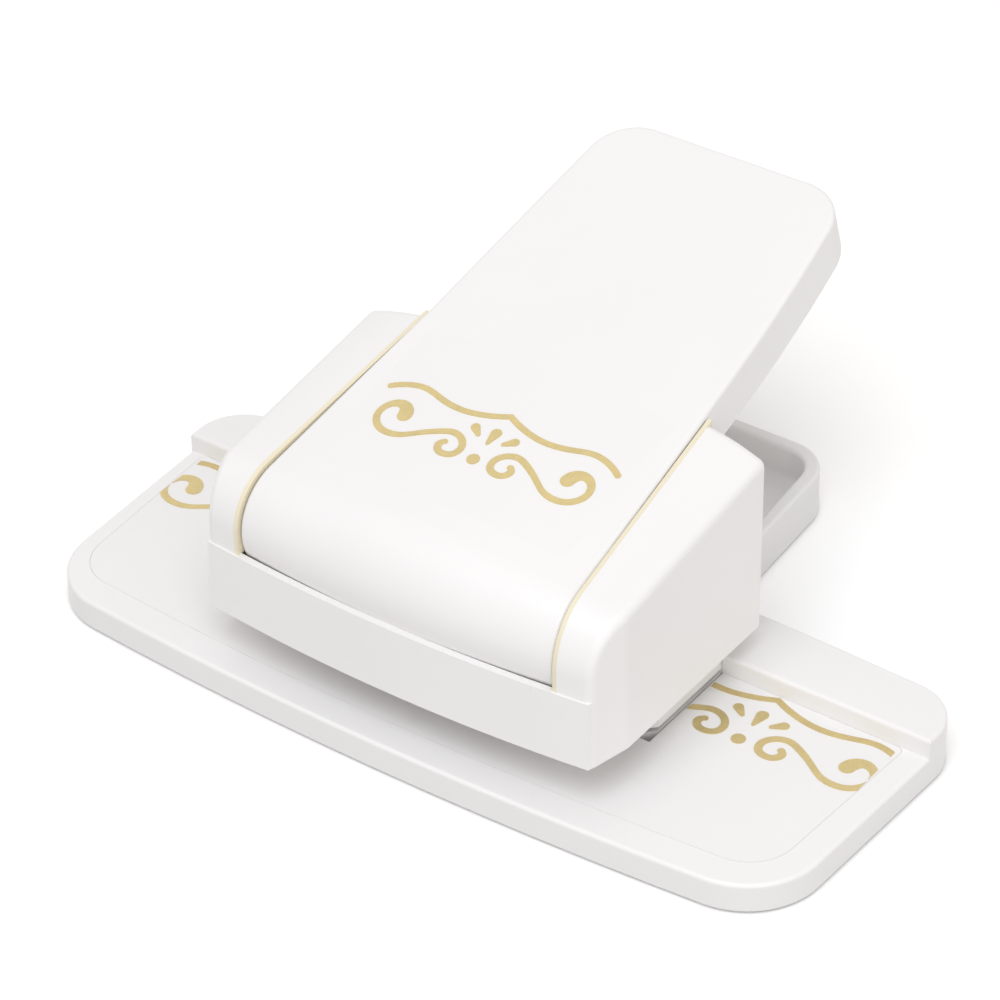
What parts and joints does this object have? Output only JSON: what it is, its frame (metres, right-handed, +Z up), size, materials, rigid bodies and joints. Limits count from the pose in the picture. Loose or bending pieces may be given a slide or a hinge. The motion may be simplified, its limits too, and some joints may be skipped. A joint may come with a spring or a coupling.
{
  "type": "border punch",
  "caption": "Desk border punch with a wide base, paper throat, tail tray and hinged lever that drives shaped punches.",
  "frame": {"origin": "on the table, under the middle of the overall outline", "axes": "+X along the fence, +Y from the bowed front edge to the tail, +Z up"},
  "size_m": [0.1592, 0.1108, 0.0669],
  "materials": {
    "white_shell": "soft gloss",
    "cover": "fine texture",
    "rubber": "matt",
    "sheet": "satin film",
    "gold_print": "satin gold ink",
    "cream": "matt",
    "zinc": "bright zinc casting",
    "bush": "natural",
    "bush_metal": "turned",
    "press": "matt",
    "steel": "ground"
  },
  "bodies": {
    "base": {"base_shell": "white_shell", "bottom_cover": "cover", "cover_screw_left_front": "steel", "cover_screw_left_back": "steel", "cover_screw_right_front": "steel", "cover_screw_right_back": "steel", "foot_left_front": "rubber", "foot_left_back": "rubber", "foot_right_front": "rubber", "foot_right_back": "rubber", "foot_tail": "rubber", "deck_sheet": "sheet", "deck_print_left": "gold_print", "deck_print_right": "gold_print", "die_plate": "steel", "paper_stop": "steel", "guide_block": "zinc", "neck_screw_left_inner": "steel", "neck_screw_left_outer": "steel", "neck_screw_right_inner": "steel", "neck_screw_right_outer": "steel", "head_screw_left_front": "steel", "head_screw_left_back": "steel", "head_screw_right_front": "steel", "head_screw_right_back": "steel", "head_shell": "white_shell", "side_liner_left": "cream", "side_liner_right": "cream", "pivot_pin": "steel", "stop_pad_left": "rubber", "stop_pad_right": "rubber", "post_left": "steel", "post_right": "steel", "post_clip_left": "steel", "post_clip_right": "steel", "return_spring_left": "steel", "return_spring_right": "steel"},
    "lever": {"lever_shell": "white_shell", "lever_bush_left": "bush", "lever_bush_right": "bush", "stiffener": "steel", "stiffener_screw_left": "steel", "stiffener_screw_right": "steel", "press_bar": "press", "lever_label": "sheet", "lever_print": "gold_print"},
    "punch": {"punch_holder": "zinc", "backing_plate": "steel", "holder_screw_left": "steel", "holder_screw_right": "steel", "post_bush_left": "bush_metal", "post_bush_right": "bush_metal", "punch_line": "steel", "punch_scroll_left": "steel", "punch_scroll_right": "steel", "punch_drop_middle": "steel", "punch_drop_left": "steel", "punch_drop_right": "steel", "punch_dot": "steel"}
  },
  "joints": [
    {"name": "lever_hinge", "type": "hinge", "parent": "base", "child": "lever", "pos_m": [0, -0.0382, 0.032], "axis": [-1, 0, 0], "range_deg": [0, 11.4]},
    {"name": "punch_slide", "type": "slide", "parent": "base", "child": "punch", "axis": [0, 0, -1], "range_m": [0, 0.005], "stiffness_N_per_m": 400, "springref_m": -0.002, "deforming": ["return_spring_left", "return_spring_right"]}
  ],
  "couplings": [
    {"joint": "punch_slide", "follows": "lever_hinge", "m_per_rad": 0.025}
  ]
}
